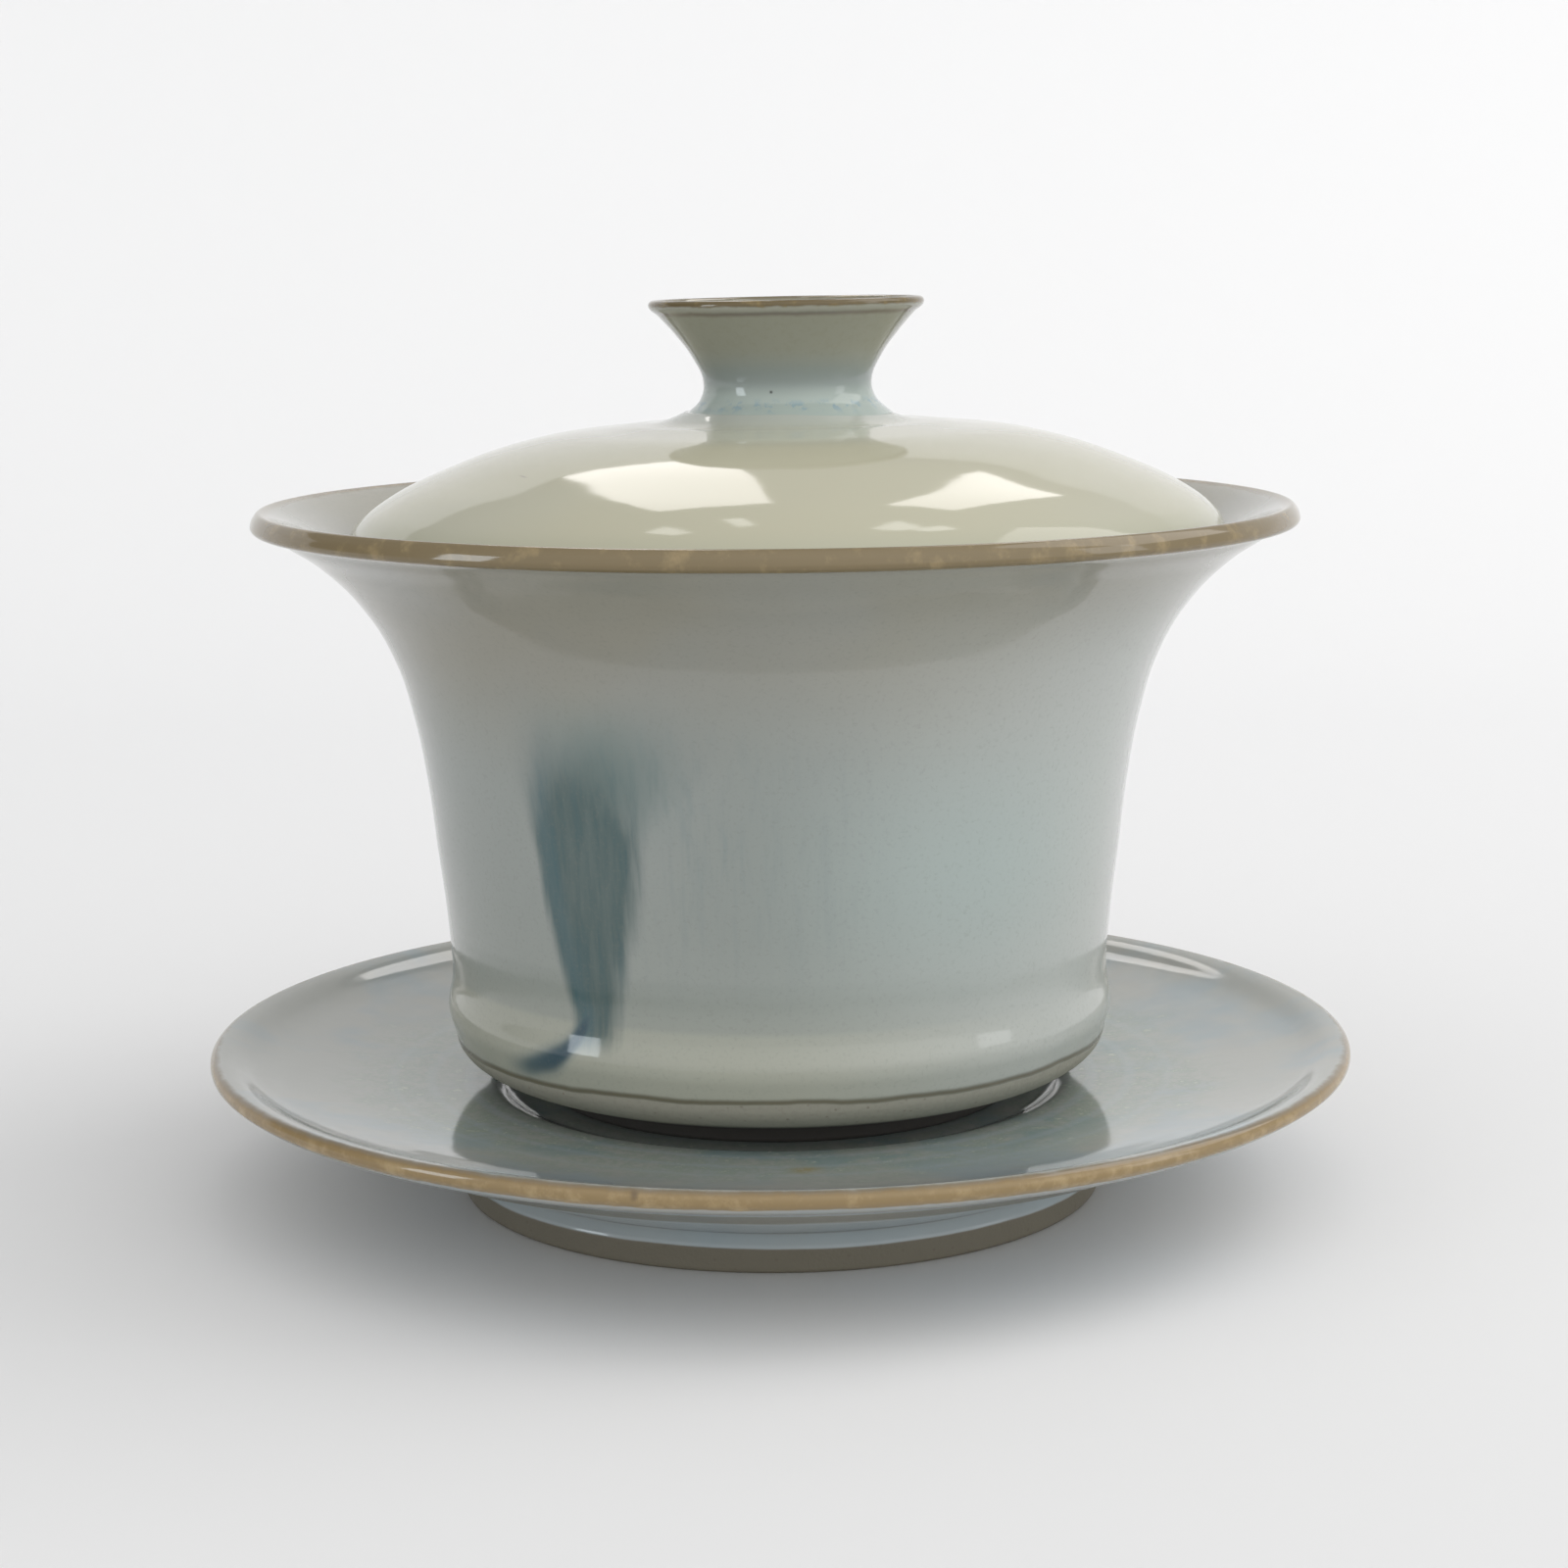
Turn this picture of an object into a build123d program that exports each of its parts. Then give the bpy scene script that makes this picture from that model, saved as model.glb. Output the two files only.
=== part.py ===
from build123d import *
import math
import os

# A gaiwan: a flared tea bowl standing in the well of a saucer, under a domed lid with a cup-shaped knob.
# Every piece is thrown on the wheel, so each one is a profile turned round its own axis.
# Millimetres, +Z up. The origin is the centre of the saucer's foot, on the table.

# Driving dimensions: radii are from the turning axis, heights are from the table.
SAUCER_RADIUS = 55.2
SAUCER_LIP = 0.85  # half the thickness of the rounded lip
SAUCER_RIM_HEIGHT = 14.9
SAUCER_FOOT_RADIUS = 31.2
SAUCER_FOOT_HEIGHT = 3.9
SAUCER_FOOT_WIDTH = 3.0
SAUCER_FOOT_RECESS = 3.4
WELL_RADIUS = 27.6
WELL_FLOOR = 9.7

BOWL_RADIUS = 49.6
BOWL_RIM_HEIGHT = 66.5
BOWL_LIP = 0.6  # rounding of the lip's two corners
BOWL_LIP_FACE = 0.7  # height of the lip between the middles of its corners
BOWL_LIP_SLANT = 0.35  # the upper corner stands this far inside the lower one
BOWL_WALL = 1.9
BOWL_FOOT_RADIUS = 23.0
BOWL_FOOT_WIDTH = 2.4
BOWL_FOOT_RECESS = 1.9
BOWL_FLOOR = 14.6

LID_RADIUS = 41.6
LID_EDGE_HEIGHT = 63.65  # height of the middle of the rounded edge
LID_EDGE = 0.9  # half the thickness of the edge
LID_WALL = 2.0
LID_TOP = 75.2  # flat seat that the knob is luted to
LID_SHIFT = 1.05  # the lid sits this far to one side of the bowl's axis
LID_LEAN = 0.6  # degrees, because its edge rides up the flare on that side

KNOB_SEAT_RADIUS = 9.45
KNOB_WAIST_RADIUS = 8.0
KNOB_WAIST_HEIGHT = 77.9
KNOB_RADIUS = 13.05
KNOB_SHIFT = 0.4  # the knob was luted this far to one side of the lid's axis
KNOB_LIP = 0.5
KNOB_RIM_HEIGHT = 85.7
KNOB_CUP_FLOOR = 77.8

EDGE_BREAK = 0.45  # softened corners of the foot rings


def inner_face(outline, thickness):
    """Points of a wall's inner face: each outer point moved in, square to the wall."""
    points = []
    for before, here, after in zip(outline[:-2], outline[1:-1], outline[2:]):
        run = after[0] - before[0]
        rise = after[1] - before[1]
        length = math.hypot(run, rise)
        points.append((here[0] - thickness * rise / length, here[1] + thickness * run / length))
    return points


os.makedirs("parts", exist_ok=True)

# Saucer: a dished plate on a turned foot ring, with a shallow well that holds the bowl's foot.
saucer_lip_centre = (SAUCER_RADIUS - SAUCER_LIP, SAUCER_RIM_HEIGHT - SAUCER_LIP)
saucer_lip_top = (saucer_lip_centre[0] - 0.45 * SAUCER_LIP, saucer_lip_centre[1] + 0.89 * SAUCER_LIP)
saucer_lip_under = (saucer_lip_centre[0] + 0.36 * SAUCER_LIP, saucer_lip_centre[1] - 0.93 * SAUCER_LIP)
foot_inner = SAUCER_FOOT_RADIUS - SAUCER_FOOT_WIDTH
with BuildPart() as saucer:
    with BuildSketch(Plane.XZ):
        with BuildLine():
            Polyline(
                (0, WELL_FLOOR),
                (0, SAUCER_FOOT_RECESS),
                (foot_inner - 1, SAUCER_FOOT_RECESS),
                (foot_inner, 0),
                (SAUCER_FOOT_RADIUS, 0),
                (SAUCER_FOOT_RADIUS + 0.4, SAUCER_FOOT_HEIGHT),
            )
            Spline(
                (SAUCER_FOOT_RADIUS + 0.4, SAUCER_FOOT_HEIGHT),
                (43.0, 8.35),
                saucer_lip_under,
                tangents=((0.93, 0.36), (0.93, 0.36)),
                tangent_scalars=(1, 1),
            )
            ThreePointArc(saucer_lip_under, (SAUCER_RADIUS, saucer_lip_centre[1]), saucer_lip_top)
            Spline(
                saucer_lip_top,
                (46.0, 12.25),
                (36.0, 10.95),
                (WELL_RADIUS, 10.5),
                tangents=((-0.89, -0.45), (-1, 0)),
                tangent_scalars=(1, 1),
            )
            Spline(
                (WELL_RADIUS, 10.5),
                (WELL_RADIUS - 2.6, WELL_FLOOR),
                tangents=((-0.7, -0.7), (-1, 0)),
                tangent_scalars=(1, 1),
            )
            Line((WELL_RADIUS - 2.6, WELL_FLOOR), (0, WELL_FLOOR))
        make_face()
    revolve(axis=Axis.Z)
    saucer_foot_edges = saucer.edges().filter_by(GeomType.CIRCLE).group_by(Axis.Z)[0]
    fillet(saucer_foot_edges, EDGE_BREAK)

# Bowl: a nearly straight body that flares wide at the lip, on a small turned foot ring.
# The wall's outer face, from the turn of the body up to just below the lip.
bowl_outline = [
    (30.2, 13.6),
    (32.3, 18.3),
    (31.85, 21.5),
    (32.95, 34.0),
    (34.9, 47.0),
    (36.6, 52.5),
    (39.5, 57.5),
    (43.4, 61.5),
    (48.75, 64.85),
]
# The wall ends almost square: a lower corner and an upper one, both rounded, with a slanting face between.
bowl_lip_low = (BOWL_RADIUS - BOWL_LIP, BOWL_RIM_HEIGHT - BOWL_LIP - BOWL_LIP_FACE)
bowl_lip_high = (bowl_lip_low[0] - BOWL_LIP_SLANT, bowl_lip_low[1] + BOWL_LIP_FACE)
lip_face_length = math.hypot(BOWL_LIP_FACE, BOWL_LIP_SLANT)
lip_out = (BOWL_LIP * BOWL_LIP_FACE / lip_face_length, BOWL_LIP * BOWL_LIP_SLANT / lip_face_length)
bowl_lip_under = (bowl_lip_low[0] + 0.36 * BOWL_LIP, bowl_lip_low[1] - 0.93 * BOWL_LIP)
bowl_lip_top = (bowl_lip_high[0] - 0.42 * BOWL_LIP, bowl_lip_high[1] + 0.91 * BOWL_LIP)
bowl_inside = inner_face(bowl_outline, BOWL_WALL)
bowl_foot_inner = BOWL_FOOT_RADIUS - BOWL_FOOT_WIDTH
with BuildPart() as bowl:
    with BuildSketch(Plane.XZ):
        with BuildLine():
            Polyline(
                (0, BOWL_FLOOR),
                (0, WELL_FLOOR + BOWL_FOOT_RECESS),
                (bowl_foot_inner - 0.6, WELL_FLOOR + BOWL_FOOT_RECESS),
                (bowl_foot_inner, WELL_FLOOR),
                (BOWL_FOOT_RADIUS, WELL_FLOOR),
                (BOWL_FOOT_RADIUS + 0.3, WELL_FLOOR + 2.1),
                (25.5, WELL_FLOOR + 2.2),
            )
            Spline(
                (25.5, WELL_FLOOR + 2.2),
                *bowl_outline[:-1],
                bowl_lip_under,
                tangents=((1, 0.12), (0.93, 0.36)),
                tangent_scalars=(1, 1),
            )
            ThreePointArc(
                bowl_lip_under,
                (BOWL_RADIUS, bowl_lip_low[1]),
                (bowl_lip_low[0] + lip_out[0], bowl_lip_low[1] + lip_out[1]),
            )
            Line(
                (bowl_lip_low[0] + lip_out[0], bowl_lip_low[1] + lip_out[1]),
                (bowl_lip_high[0] + lip_out[0], bowl_lip_high[1] + lip_out[1]),
            )
            ThreePointArc(
                (bowl_lip_high[0] + lip_out[0], bowl_lip_high[1] + lip_out[1]),
                (bowl_lip_high[0] + 0.3 * BOWL_LIP, bowl_lip_high[1] + 0.954 * BOWL_LIP),
                bowl_lip_top,
            )
            Spline(
                bowl_lip_top,
                *reversed(bowl_inside),
                (24.0, BOWL_FLOOR + 0.35),
                (16.0, BOWL_FLOOR),
                tangents=((-0.91, -0.42), (-1, 0)),
                tangent_scalars=(1, 1),
            )
            Line((16.0, BOWL_FLOOR), (0, BOWL_FLOOR))
        make_face()
    revolve(axis=Axis.Z)
    bowl_foot_edges = bowl.edges().filter_by(GeomType.CIRCLE).group_by(Axis.Z)[0]
    fillet(bowl_foot_edges, EDGE_BREAK)

# The lid's axis stands a little off the bowl's and leans with the lid, and the knob's is beside it.
lean = math.radians(LID_LEAN)
lid_origin = Vector(LID_SHIFT + LID_EDGE_HEIGHT * math.sin(lean), 0, 0)
lid_up = Vector(-math.sin(lean), 0, math.cos(lean))
lid_section = Plane(origin=lid_origin, x_dir=(math.cos(lean), 0, math.sin(lean)), z_dir=(0, -1, 0))
lid_axis = Axis(lid_origin, lid_up)

# Lid: a shallow dome that swells up to a flat seat under the knob.
# The dome's outer face, from the edge up to the foot of the knob.
lid_outline = [
    (41.3, 64.7),
    (40.6, 65.6),
    (38.7, 67.1),
    (33.0, 69.95),
    (24.0, 72.85),
    (15.5, 73.95),
    (11.4, 74.4),
    (KNOB_SEAT_RADIUS, LID_TOP),
]
lid_edge_centre = (LID_RADIUS - LID_EDGE, LID_EDGE_HEIGHT)
lid_inside = inner_face(lid_outline[:-1], LID_WALL)
with BuildPart() as lid:
    with BuildSketch(lid_section):
        with BuildLine():
            Polyline((0, 72.1), (0, LID_TOP), (KNOB_SEAT_RADIUS, LID_TOP))
            Spline(
                (KNOB_SEAT_RADIUS, LID_TOP),
                *reversed(lid_outline[:-1]),
                (LID_RADIUS, LID_EDGE_HEIGHT),
                tangents=((0.75, -0.66), (0, -1)),
                tangent_scalars=(1, 1),
            )
            ThreePointArc(
                (LID_RADIUS, LID_EDGE_HEIGHT),
                (lid_edge_centre[0], LID_EDGE_HEIGHT - LID_EDGE),
                (lid_edge_centre[0] - LID_EDGE, LID_EDGE_HEIGHT),
            )
            Spline(
                (lid_edge_centre[0] - LID_EDGE, LID_EDGE_HEIGHT),
                *lid_inside[1:-1],
                (14.0, 72.1),
                tangents=((0, 1), (-1, 0)),
                tangent_scalars=(1, 1),
            )
            Line((14.0, 72.1), (0, 72.1))
        make_face()
    revolve(axis=lid_axis)

# Knob: a small flaring cup, luted by its foot to the lid's flat seat. It is what the fingers hold.
knob_origin = lid_origin + KNOB_SHIFT * lid_section.x_dir
knob_section = Plane(origin=knob_origin, x_dir=lid_section.x_dir, z_dir=(0, -1, 0))
knob_lip_centre = (KNOB_RADIUS - KNOB_LIP, KNOB_RIM_HEIGHT - KNOB_LIP)
knob_lip_top = (knob_lip_centre[0] - 0.6 * KNOB_LIP, knob_lip_centre[1] + 0.8 * KNOB_LIP)
with BuildPart() as lid_knob:
    with BuildSketch(knob_section):
        with BuildLine():
            Polyline((0, KNOB_CUP_FLOOR), (0, LID_TOP), (KNOB_SEAT_RADIUS, LID_TOP))
            Spline(
                (KNOB_SEAT_RADIUS, LID_TOP),
                (8.35, 76.3),
                (KNOB_WAIST_RADIUS, KNOB_WAIST_HEIGHT),
                tangents=((-0.75, 0.66), (0, 1)),
                tangent_scalars=(1, 1),
            )
            Spline(
                (KNOB_WAIST_RADIUS, KNOB_WAIST_HEIGHT),
                (8.9, 80.15),
                (10.55, 82.45),
                (KNOB_RADIUS, knob_lip_centre[1]),
                tangents=((0.2, 0.98), (0.35, 0.94)),
                tangent_scalars=(1, 1),
            )
            ThreePointArc(
                (KNOB_RADIUS, knob_lip_centre[1]),
                (knob_lip_centre[0] + 0.2 * KNOB_LIP, KNOB_RIM_HEIGHT),
                knob_lip_top,
            )
            Spline(
                knob_lip_top,
                (9.2, 82.1),
                (7.0, 79.0),
                (4.4, KNOB_CUP_FLOOR),
                tangents=((-0.6, -0.8), (-1, 0)),
                tangent_scalars=(1, 1),
            )
            Line((4.4, KNOB_CUP_FLOOR), (0, KNOB_CUP_FLOOR))
        make_face()
    revolve(axis=Axis(knob_origin, lid_up))

saucer.part.label = "saucer"
bowl.part.label = "bowl"
lid.part.label = "lid"
lid_knob.part.label = "lid_knob"
export_step(saucer.part, "parts/saucer.step")
export_step(bowl.part, "parts/bowl.step")
export_step(lid.part, "parts/lid.step")
export_step(lid_knob.part, "parts/lid_knob.step")
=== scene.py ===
import math

import bpy
from mathutils import Matrix, Vector


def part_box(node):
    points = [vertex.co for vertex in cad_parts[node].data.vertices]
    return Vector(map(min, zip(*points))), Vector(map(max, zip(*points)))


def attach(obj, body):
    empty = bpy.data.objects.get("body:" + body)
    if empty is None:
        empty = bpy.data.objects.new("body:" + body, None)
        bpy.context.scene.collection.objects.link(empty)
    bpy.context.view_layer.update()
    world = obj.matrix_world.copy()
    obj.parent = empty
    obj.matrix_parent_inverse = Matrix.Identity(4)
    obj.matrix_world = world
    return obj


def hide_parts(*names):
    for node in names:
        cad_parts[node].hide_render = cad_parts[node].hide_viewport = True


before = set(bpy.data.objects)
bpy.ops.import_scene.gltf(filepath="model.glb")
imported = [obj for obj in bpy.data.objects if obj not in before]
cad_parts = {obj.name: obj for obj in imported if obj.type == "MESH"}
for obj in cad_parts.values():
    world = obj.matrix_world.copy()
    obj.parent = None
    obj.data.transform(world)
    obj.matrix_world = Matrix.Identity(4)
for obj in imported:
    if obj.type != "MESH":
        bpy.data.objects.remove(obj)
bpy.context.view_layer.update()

# ------------------------------------------------------------------------------------------
# SAUCER. A dished plate thrown in grey stoneware and turned on a foot ring, with a shallow
# well for the bowl's foot. It is glazed down to the foot ring, which is wiped bare so that
# it doesn't stick to the kiln shelf, and the glaze runs thin and tan over the lip.
# ------------------------------------------------------------------------------------------
MM = 0.001


class Field:
    """A number that varies over a surface. Arithmetic on it adds Math nodes to its node tree."""

    def __init__(self, tree, socket):
        self.tree = tree
        self.socket = socket

    def step(self, operation, *others):
        made = self.tree.nodes.new("ShaderNodeMath")
        made.operation = operation
        for place, value in zip(made.inputs, (self, *others)):
            if isinstance(value, Field):
                self.tree.links.new(value.socket, place)
            else:
                place.default_value = value
        return Field(self.tree, made.outputs[0])

    def __add__(self, other):
        return self.step("ADD", other)

    def __sub__(self, other):
        return self.step("SUBTRACT", other)

    def __mul__(self, other):
        return self.step("MULTIPLY", other)

    def __truediv__(self, other):
        return self.step("DIVIDE", other)

    def rise(self, low, high):
        """0 below low, 1 above high, and a soft step between. It falls instead if low is above high."""
        made = self.tree.nodes.new("ShaderNodeMapRange")
        made.interpolation_type = "SMOOTHSTEP"
        self.tree.links.new(self.socket, made.inputs["Value"])
        made.inputs["From Min"].default_value = min(low, high)
        made.inputs["From Max"].default_value = max(low, high)
        made.inputs["To Min"].default_value = 0.0 if low < high else 1.0
        made.inputs["To Max"].default_value = 1.0 if low < high else 0.0
        return Field(self.tree, made.outputs["Result"])

    def bump(self, middle, reach):
        """1 at middle, falling softly to 0 at reach on either side."""
        return (self - middle).step("ABSOLUTE").rise(reach, 0.0)

    def drawn(self, *points):
        """A curve drawn through points (value here, value there)."""
        low, high = points[0][0], points[-1][0]
        made = self.tree.nodes.new("ShaderNodeFloatCurve")
        line = made.mapping.curves[0]
        bottom = min(value for _, value in points)
        top = max(value for _, value in points)
        spots = [((at - low) / (high - low), (value - bottom) / (top - bottom)) for at, value in points]
        for spot in spots[1:-1]:
            line.points.new(*spot)
        line.points[0].location = spots[0]
        line.points[-1].location = spots[-1]
        made.mapping.update()
        share = ((self - low) / (high - low)).step("MAXIMUM", 0.0).step("MINIMUM", 1.0)
        self.tree.links.new(share.socket, made.inputs["Value"])
        return Field(self.tree, made.outputs["Value"]) * (top - bottom) + bottom


def noise(tree, vector, scale, detail=2.0, roughness=0.5, seed=0.0):
    """Soft random clouds from 0 to 1, about 1 / scale across."""
    made = tree.nodes.new("ShaderNodeTexNoise")
    made.noise_dimensions = "4D"
    tree.links.new(vector, made.inputs["Vector"])
    made.inputs["W"].default_value = seed
    made.inputs["Scale"].default_value = scale
    made.inputs["Detail"].default_value = detail
    made.inputs["Roughness"].default_value = roughness
    return Field(tree, made.outputs[0])


def potters_wheel():
    """The node tree that throws a pot: it turns an outline round the Z axis into one closed skin.

    The skin is a little out of round, rolls up where the glaze stops above bare clay, and carries
    two lengths for the glazes to follow: how far each point is from the lip and from the glaze's edge.
    """
    tree = bpy.data.node_groups.new("potters_wheel", "GeometryNodeTree")
    tree.interface.new_socket("Geometry", in_out="INPUT", socket_type="NodeSocketGeometry")
    for name, kind, value in (
        ("Outline", "NodeSocketObject", None),
        ("Clay", "NodeSocketMaterial", None),
        ("Facets", "NodeSocketInt", 256),
        ("Lip row", "NodeSocketInt", 0),
        ("Glaze edge row", "NodeSocketInt", 0),
        ("Glaze edge wander", "NodeSocketFloat", 0.0),
        ("Glaze roll", "NodeSocketFloat", 0.0),
        ("Out of round", "NodeSocketFloat", 0.0),
        ("Seed", "NodeSocketFloat", 0.0),
    ):
        socket = tree.interface.new_socket(name, in_out="INPUT", socket_type=kind)
        if value is not None:
            socket.default_value = value
    tree.interface.new_socket("Geometry", in_out="OUTPUT", socket_type="NodeSocketGeometry")
    given = tree.nodes.new("NodeGroupInput").outputs
    made = tree.nodes.new("NodeGroupOutput")
    link = tree.links.new

    def number(name):
        return Field(tree, given[name])

    # the outline's points, each with its length along the outline
    outline = tree.nodes.new("GeometryNodeObjectInfo")
    link(given["Outline"], outline.inputs["Object"])
    along = tree.nodes.new("GeometryNodeSplineParameter")
    measured = tree.nodes.new("GeometryNodeCaptureAttribute")
    measured.capture_items.new("FLOAT", "Length")
    link(outline.outputs["Geometry"], measured.inputs["Geometry"])
    link(along.outputs["Length"], measured.inputs["Length"])
    rows = tree.nodes.new("GeometryNodeCurveToPoints")
    rows.mode = "EVALUATED"
    link(measured.outputs["Geometry"], rows.inputs["Curve"])
    count = tree.nodes.new("GeometryNodeAttributeDomainSize")
    count.component = "POINTCLOUD"
    link(rows.outputs["Points"], count.inputs["Geometry"])

    # a flat grid with one row for each point of the outline and one column for each facet
    columns = number("Facets") + 1.0
    grid = tree.nodes.new("GeometryNodeMeshGrid")
    link(count.outputs["Point Count"], grid.inputs["Vertices X"])
    link(columns.socket, grid.inputs["Vertices Y"])
    index = Field(tree, tree.nodes.new("GeometryNodeInputIndex").outputs[0])
    row = (index / columns + 0.0001).step("FLOOR")
    turn = (index - row * columns) / number("Facets") * (2 * math.pi)

    def at_row(place, kind, value):
        sample = tree.nodes.new("GeometryNodeSampleIndex")
        sample.data_type = kind
        sample.domain = "POINT"
        link(rows.outputs["Points"], sample.inputs["Geometry"])
        link(value, sample.inputs["Value"])
        link(place.socket, sample.inputs["Index"])
        return sample.outputs["Value"]

    spot = tree.nodes.new("ShaderNodeSeparateXYZ")
    position = tree.nodes.new("GeometryNodeInputPosition").outputs[0]
    link(at_row(row, "FLOAT_VECTOR", position), spot.inputs[0])
    radius = Field(tree, spot.outputs["X"])
    height = Field(tree, spot.outputs["Z"])
    length = Field(tree, at_row(row, "FLOAT", measured.outputs["Length"]))
    lip = Field(tree, at_row(number("Lip row"), "FLOAT", measured.outputs["Length"]))
    edge = Field(tree, at_row(number("Glaze edge row"), "FLOAT", measured.outputs["Length"]))

    # round the wheel, with the slow wander that a hand leaves
    compass = tree.nodes.new("ShaderNodeCombineXYZ")
    link(turn.step("COSINE").socket, compass.inputs["X"])
    link(turn.step("SINE").socket, compass.inputs["Y"])
    link((height * 12.0 + number("Seed")).socket, compass.inputs["Z"])
    sway = (noise(tree, compass.outputs[0], 0.9, 1.0) - 0.5) * number("Out of round") * 2.0
    round_radius = radius + sway * radius.rise(0.0, 0.02)
    wander = noise(tree, compass.outputs[0], 1.3, 4.0, 0.55, seed=3.0) - 0.5
    from_edge = length - edge + wander * number("Glaze edge wander") * 2.0
    from_lip = length - lip

    thrown = tree.nodes.new("ShaderNodeCombineXYZ")
    link((turn.step("COSINE") * round_radius).socket, thrown.inputs["X"])
    link((turn.step("SINE") * round_radius).socket, thrown.inputs["Y"])
    link(height.socket, thrown.inputs["Z"])
    shaped = tree.nodes.new("GeometryNodeSetPosition")
    link(grid.outputs["Mesh"], shaped.inputs["Geometry"])
    link(thrown.outputs[0], shaped.inputs["Position"])

    # lengths that the glazes read, in millimetres
    skin = shaped.outputs["Geometry"]
    for name, value in (("from_lip", from_lip), ("from_glaze_edge", from_edge)):
        noted = tree.nodes.new("GeometryNodeStoreNamedAttribute")
        noted.data_type = "FLOAT"
        noted.domain = "POINT"
        noted.inputs["Name"].default_value = name
        link(skin, noted.inputs["Geometry"])
        link((value / MM).socket, noted.inputs["Value"])
        skin = noted.outputs["Geometry"]
    closed = tree.nodes.new("GeometryNodeMergeByDistance")
    closed.inputs["Distance"].default_value = 2e-7
    link(skin, closed.inputs["Geometry"])

    # the glaze rolls up at its edge and thins again a few millimetres further on
    note = tree.nodes.new("GeometryNodeInputNamedAttribute")
    note.data_type = "FLOAT"
    note.inputs["Name"].default_value = "from_glaze_edge"
    reach = Field(tree, note.outputs[0])
    roll = reach.rise(-0.15, 0.35) * reach.rise(3.5, 0.4) * number("Glaze roll")
    push = tree.nodes.new("ShaderNodeVectorMath")
    push.operation = "SCALE"
    link(tree.nodes.new("GeometryNodeInputNormal").outputs[0], push.inputs[0])
    link(roll.socket, push.inputs["Scale"])
    glazed = tree.nodes.new("GeometryNodeSetPosition")
    link(closed.outputs["Geometry"], glazed.inputs["Geometry"])
    link(push.outputs[0], glazed.inputs["Offset"])

    smooth = tree.nodes.new("GeometryNodeSetShadeSmooth")
    link(glazed.outputs["Geometry"], smooth.inputs["Geometry"])
    real = tree.nodes.new("GeometryNodeRealizeInstances")
    link(smooth.outputs["Geometry"], real.inputs["Geometry"])
    fired = tree.nodes.new("GeometryNodeSetMaterial")
    link(real.outputs["Geometry"], fired.inputs["Geometry"])
    link(given["Clay"], fired.inputs["Material"])
    link(fired.outputs["Geometry"], made.inputs["Geometry"])
    return tree


wheel = potters_wheel()
ROWS_A_POINT = 10
SHARP = 0.0  # the rounding of a corner that is left square


def rib(name, outline):
    """The outline as a curve in the XZ plane, and the row that each of its points becomes.

    A point is (radius, height) where the curve runs smoothly through it, and has a third number,
    the radius it is rounded with, where it is a corner. All are in millimetres.
    """
    knots = []
    for place, point in enumerate(outline):
        here = Vector((point[0], 0, point[1])) * MM
        if len(point) == 2:
            knots.append((point, here, None, None))
            continue
        rounding = point[2] * MM
        if rounding == 0 or place in (0, len(outline) - 1):
            knots.append((point, here, here, here))
            continue
        before, after = outline[place - 1], outline[place + 1]
        back = (Vector((before[0], 0, before[1])) * MM - here).normalized()
        on = (Vector((after[0], 0, after[1])) * MM - here).normalized()
        start, end = here + back * rounding, here + on * rounding
        pull = 0.55 * rounding
        knots.append((point, start, start + back * 0.3 * rounding, start - back * pull))
        knots.append((point, end, end - on * pull, end + on * 0.3 * rounding))
    curve = bpy.data.curves.new(name, "CURVE")
    curve.dimensions = "3D"
    curve.resolution_u = ROWS_A_POINT
    spline = curve.splines.new("BEZIER")
    spline.bezier_points.add(len(knots) - 1)
    row_of = {}
    for place, (knot, (point, here, back, on)) in enumerate(zip(spline.bezier_points, knots)):
        row_of.setdefault(point, place * ROWS_A_POINT)
        knot.co = here
        knot.handle_left_type = knot.handle_right_type = "AUTO" if back is None else "FREE"
        if back is not None:
            knot.handle_left = back
            knot.handle_right = on
    made = bpy.data.objects.new(name, curve)
    bpy.context.scene.collection.objects.link(made)
    return made, row_of


def throw(
    name, outline, clay, lip, glaze_edge, wander=0.0, roll=0.0, out_of_round=0.05, seed=1.0, place=None
):
    """Throws one piece: its outline goes on the wheel, and what comes off is a plain mesh in its place."""
    shape, row_of = rib(name + "_outline", outline)
    pot = bpy.data.objects.new(name, bpy.data.meshes.new(name))
    bpy.context.scene.collection.objects.link(pot)
    turning = pot.modifiers.new("wheel", "NODES")
    turning.node_group = wheel
    sizes = {
        "Outline": shape,
        "Clay": clay,
        "Lip row": row_of[lip],
        "Glaze edge row": row_of[glaze_edge],
        "Glaze edge wander": wander * MM,
        "Glaze roll": roll * MM,
        "Out of round": out_of_round * MM,
        "Seed": seed,
    }
    for socket in wheel.interface.items_tree:
        if socket.item_type == "SOCKET" and socket.in_out == "INPUT" and socket.name in sizes:
            turning[socket.identifier] = sizes[socket.name]
    depsgraph = bpy.context.evaluated_depsgraph_get()
    skin = bpy.data.meshes.new_from_object(pot.evaluated_get(depsgraph), depsgraph=depsgraph)
    pot.modifiers.clear()
    pot.data = skin
    skin.name = name
    if place is not None:
        skin.transform(place)
    bpy.data.objects.remove(shape)
    return pot


def rounded_lip(centre, half, start, end, count=4):
    """Points round a lip of that half thickness, from angle start to end in degrees above straight out."""
    angles = [math.radians(start + (end - start) * n / (count - 1)) for n in range(count)]
    return [(centre[0] + half * math.cos(a), centre[1] + half * math.sin(a)) for a in angles]


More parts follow.
